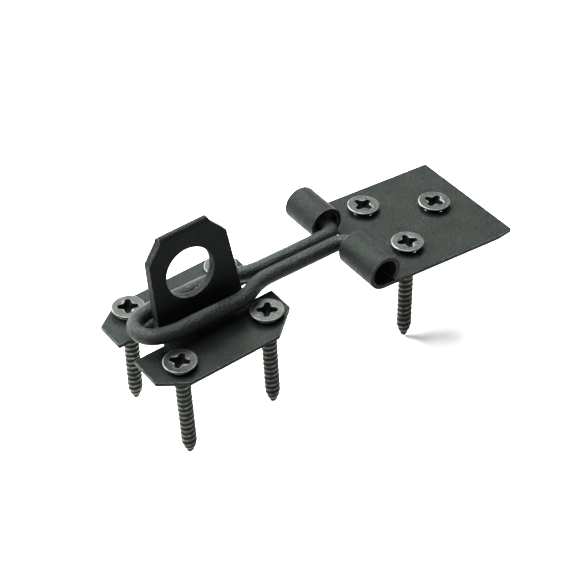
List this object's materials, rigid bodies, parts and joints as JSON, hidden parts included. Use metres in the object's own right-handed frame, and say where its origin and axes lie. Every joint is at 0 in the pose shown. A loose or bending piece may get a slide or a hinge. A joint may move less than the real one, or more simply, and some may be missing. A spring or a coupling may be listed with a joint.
{
  "type": "wire hasp and staple",
  "caption": "Wire hasp and staple for a shutter or gate: a bent-rod bail hinged in two curled knuckles drops over the upright padlock tongue of a folded plate.",
  "frame": {"origin": "in the plane of the staple's two wing undersides, under the middle of the padlock tongue", "axes": "+X from the staple towards the hinge leaf, +Y across the fold towards the side the tongue leans to, +Z away from the board, up the tongue"},
  "size_m": [0.1035, 0.036, 0.0573],
  "materials": {
    "plate_coat": "matte black powder coat, fine texture",
    "wire_coat": "matte black powder coat, coarser pebbled texture",
    "screw_coat": "black phosphate, worn to grey on the rims"
  },
  "bodies": {
    "staple": {"staple_plate": "plate_coat", "staple_screw_front_left": "screw_coat", "staple_screw_back_left": "screw_coat", "staple_screw_front_right": "screw_coat", "staple_screw_back_right": "screw_coat"},
    "leaf": {"hinge_leaf": "plate_coat", "leaf_screw_back": "screw_coat", "leaf_screw_outer": "screw_coat", "leaf_screw_front": "screw_coat"},
    "bail": {"wire_bail": "wire_coat"}
  },
  "joints": [
    {"name": "lift_off", "type": "slide", "parent": "staple", "child": "leaf", "axis": [0, 0.1246, 0.9922], "range_m": [0, 0.03]},
    {"name": "bail_swing", "type": "hinge", "parent": "leaf", "child": "bail", "pos_m": [0.04216, 0, 0.00331], "axis": [0, 0.9969, -0.0785], "range_deg": [0, 183]}
  ]
}
